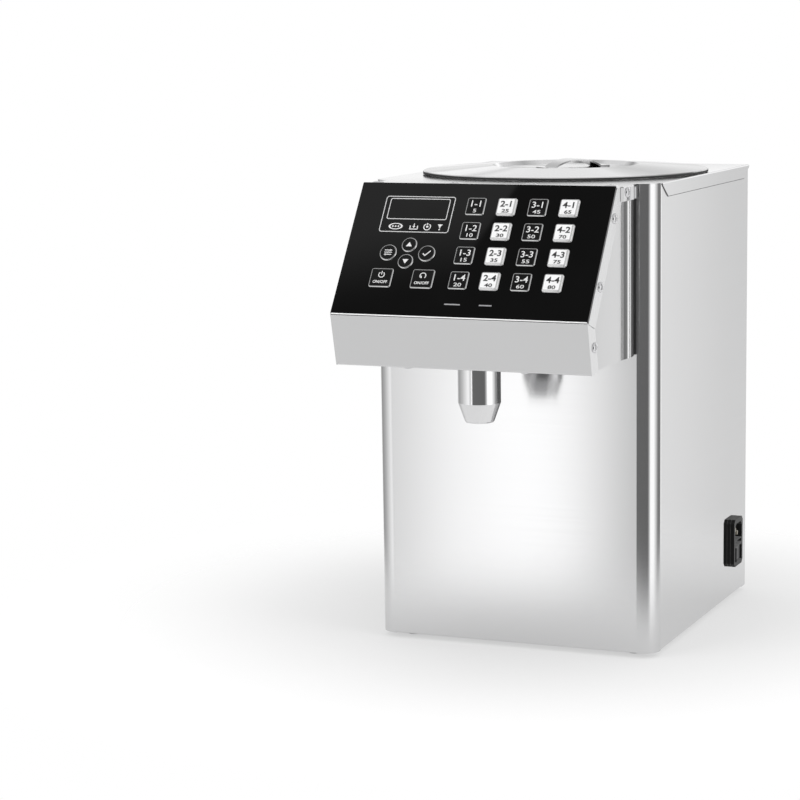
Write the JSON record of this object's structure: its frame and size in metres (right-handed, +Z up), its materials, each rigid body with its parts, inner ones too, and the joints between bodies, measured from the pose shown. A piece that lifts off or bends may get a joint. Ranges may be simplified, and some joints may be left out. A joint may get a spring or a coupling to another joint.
{
  "type": "fructose dispenser",
  "caption": "Counter-top syrup dispenser: steel cabinet with a round lift-off tank lid, an overhanging sloped keypad above the nozzle, and a gear pump inside.",
  "frame": {"origin": "on the counter, under the middle of the cabinet's footprint", "axes": "+Z up, -Y the front with the keypad and nozzle, +X the right-hand side as seen from the front"},
  "size_m": [0.2938, 0.4528, 0.4553],
  "materials": {
    "cabinet_steel": "fine satin",
    "head_steel": "fine satin",
    "fascia_steel": "fine brushed, along the width",
    "plain_steel": "mill",
    "tank_steel": "satin",
    "lid_steel": "satin",
    "handle_steel": "polished",
    "nozzle_steel": "polished",
    "fitting_steel": "turned",
    "pump_steel": "machined",
    "screw_steel": "polished",
    "rubber": "matt",
    "seal_silicone": "matt",
    "hose_silicone": "satin",
    "heater_pad": "matt",
    "panel_gloss": "glossy",
    "window_glass": "glossy",
    "light_lens": "glossy",
    "display_body": "matt",
    "board_green": "satin",
    "switch_black": "matt",
    "key_black": "satin",
    "key_silver": "satin",
    "gear_plastic": "satin",
    "motor_black": "satin",
    "inlet_black": "satin",
    "pin_brass": "nickel plated",
    "rocker_gloss": "glossy",
    "supply_metal": "satin"
  },
  "bodies": {
    "casing": {"cabinet_shell": "cabinet_steel", "top_cover": "cabinet_steel", "rear_cover": "cabinet_steel", "base_plate": "plain_steel", "rubber_feet": "rubber", "head_fascia": "fascia_steel", "head_side_left": "head_steel", "head_side_right": "head_steel", "head_floor": "head_steel", "keypad_panel": "panel_gloss", "display_window": "window_glass", "display_module": "display_body", "indicator_lights": "light_lens", "control_board": "board_green", "key_switches": "switch_black", "tank": "tank_steel", "tank_seal": "seal_silicone", "tank_heater": "heater_pad", "outlet_fitting": "fitting_steel", "suction_hose": "hose_silicone", "delivery_hose": "hose_silicone", "pump_body": "pump_steel", "pump_cover": "pump_steel", "pump_motor": "motor_black", "pump_bracket": "plain_steel", "nozzle_body": "nozzle_steel", "nozzle_connector": "fitting_steel", "nozzle_nut": "fitting_steel", "power_inlet": "inlet_black", "inlet_pins": "pin_brass", "power_supply": "supply_metal", "casing_screws": "screw_steel", "strip_screws": "screw_steel"},
    "lid": {"lid": "lid_steel", "lid_handle": "handle_steel"},
    "key_1_1": {"key_1_1": "key_black"},
    "key_1_2": {"key_1_2": "key_black"},
    "key_1_3": {"key_1_3": "key_black"},
    "key_1_4": {"key_1_4": "key_black"},
    "key_2_1": {"key_2_1": "key_silver"},
    "key_2_2": {"key_2_2": "key_silver"},
    "key_2_3": {"key_2_3": "key_silver"},
    "key_2_4": {"key_2_4": "key_silver"},
    "key_3_1": {"key_3_1": "key_black"},
    "key_3_2": {"key_3_2": "key_black"},
    "key_3_3": {"key_3_3": "key_black"},
    "key_3_4": {"key_3_4": "key_black"},
    "key_4_1": {"key_4_1": "key_silver"},
    "key_4_2": {"key_4_2": "key_silver"},
    "key_4_3": {"key_4_3": "key_silver"},
    "key_4_4": {"key_4_4": "key_silver"},
    "key_up": {"key_up": "key_black"},
    "key_down": {"key_down": "key_black"},
    "key_set": {"key_set": "key_black"},
    "key_save": {"key_save": "key_black"},
    "key_power": {"key_power": "key_black"},
    "key_continuous": {"key_continuous": "key_black"},
    "rocker": {"rocker_switch": "rocker_gloss"},
    "pump_driver": {"drive_gear": "gear_plastic"},
    "pump_idler": {"driven_gear": "gear_plastic"}
  },
  "joints": [
    {"name": "lid_lift", "type": "slide", "parent": "casing", "child": "lid", "axis": [0, 0, 1], "range_m": [0, 0.15]},
    {"name": "key_1_1_press", "type": "slide", "parent": "casing", "child": "key_1_1", "axis": [0, 0.8192, -0.5736], "range_m": [0, 0.0005], "stiffness_N_per_m": 1500},
    {"name": "key_1_2_press", "type": "slide", "parent": "casing", "child": "key_1_2", "axis": [0, 0.8192, -0.5736], "range_m": [0, 0.0005], "stiffness_N_per_m": 1500},
    {"name": "key_1_3_press", "type": "slide", "parent": "casing", "child": "key_1_3", "axis": [0, 0.8192, -0.5736], "range_m": [0, 0.0005], "stiffness_N_per_m": 1500},
    {"name": "key_1_4_press", "type": "slide", "parent": "casing", "child": "key_1_4", "axis": [0, 0.8192, -0.5736], "range_m": [0, 0.0005], "stiffness_N_per_m": 1500},
    {"name": "key_2_1_press", "type": "slide", "parent": "casing", "child": "key_2_1", "axis": [0, 0.8192, -0.5736], "range_m": [0, 0.0005], "stiffness_N_per_m": 1500},
    {"name": "key_2_2_press", "type": "slide", "parent": "casing", "child": "key_2_2", "axis": [0, 0.8192, -0.5736], "range_m": [0, 0.0005], "stiffness_N_per_m": 1500},
    {"name": "key_2_3_press", "type": "slide", "parent": "casing", "child": "key_2_3", "axis": [0, 0.8192, -0.5736], "range_m": [0, 0.0005], "stiffness_N_per_m": 1500},
    {"name": "key_2_4_press", "type": "slide", "parent": "casing", "child": "key_2_4", "axis": [0, 0.8192, -0.5736], "range_m": [0, 0.0005], "stiffness_N_per_m": 1500},
    {"name": "key_3_1_press", "type": "slide", "parent": "casing", "child": "key_3_1", "axis": [0, 0.8192, -0.5736], "range_m": [0, 0.0005], "stiffness_N_per_m": 1500},
    {"name": "key_3_2_press", "type": "slide", "parent": "casing", "child": "key_3_2", "axis": [0, 0.8192, -0.5736], "range_m": [0, 0.0005], "stiffness_N_per_m": 1500},
    {"name": "key_3_3_press", "type": "slide", "parent": "casing", "child": "key_3_3", "axis": [0, 0.8192, -0.5736], "range_m": [0, 0.0005], "stiffness_N_per_m": 1500},
    {"name": "key_3_4_press", "type": "slide", "parent": "casing", "child": "key_3_4", "axis": [0, 0.8192, -0.5736], "range_m": [0, 0.0005], "stiffness_N_per_m": 1500},
    {"name": "key_4_1_press", "type": "slide", "parent": "casing", "child": "key_4_1", "axis": [0, 0.8192, -0.5736], "range_m": [0, 0.0005], "stiffness_N_per_m": 1500},
    {"name": "key_4_2_press", "type": "slide", "parent": "casing", "child": "key_4_2", "axis": [0, 0.8192, -0.5736], "range_m": [0, 0.0005], "stiffness_N_per_m": 1500},
    {"name": "key_4_3_press", "type": "slide", "parent": "casing", "child": "key_4_3", "axis": [0, 0.8192, -0.5736], "range_m": [0, 0.0005], "stiffness_N_per_m": 1500},
    {"name": "key_4_4_press", "type": "slide", "parent": "casing", "child": "key_4_4", "axis": [0, 0.8192, -0.5736], "range_m": [0, 0.0005], "stiffness_N_per_m": 1500},
    {"name": "key_up_press", "type": "slide", "parent": "casing", "child": "key_up", "axis": [0, 0.8192, -0.5736], "range_m": [0, 0.0005], "stiffness_N_per_m": 1500},
    {"name": "key_down_press", "type": "slide", "parent": "casing", "child": "key_down", "axis": [0, 0.8192, -0.5736], "range_m": [0, 0.0005], "stiffness_N_per_m": 1500},
    {"name": "key_set_press", "type": "slide", "parent": "casing", "child": "key_set", "axis": [0, 0.8192, -0.5736], "range_m": [0, 0.0005], "stiffness_N_per_m": 1500},
    {"name": "key_save_press", "type": "slide", "parent": "casing", "child": "key_save", "axis": [0, 0.8192, -0.5736], "range_m": [0, 0.0005], "stiffness_N_per_m": 1500},
    {"name": "key_power_press", "type": "slide", "parent": "casing", "child": "key_power", "axis": [0, 0.8192, -0.5736], "range_m": [0, 0.0005], "stiffness_N_per_m": 1500},
    {"name": "key_continuous_press", "type": "slide", "parent": "casing", "child": "key_continuous", "axis": [0, 0.8192, -0.5736], "range_m": [0, 0.0005], "stiffness_N_per_m": 1500},
    {"name": "rocker_tip", "type": "hinge", "parent": "casing", "child": "rocker", "pos_m": [0.1473, 0.0885, 0.0526], "axis": [0, 0, 1], "range_deg": [-18, 0]},
    {"name": "driver_spin", "type": "hinge", "parent": "casing", "child": "pump_driver", "pos_m": [0, -0.09, 0.1181], "axis": [0, 0, 1], "continuous": true},
    {"name": "idler_spin", "type": "hinge", "parent": "casing", "child": "pump_idler", "pos_m": [0, -0.066, 0.1181], "axis": [0, 0, 1], "continuous": true}
  ],
  "couplings": [
    {"joint": "idler_spin", "follows": "driver_spin", "ratio": -1}
  ]
}
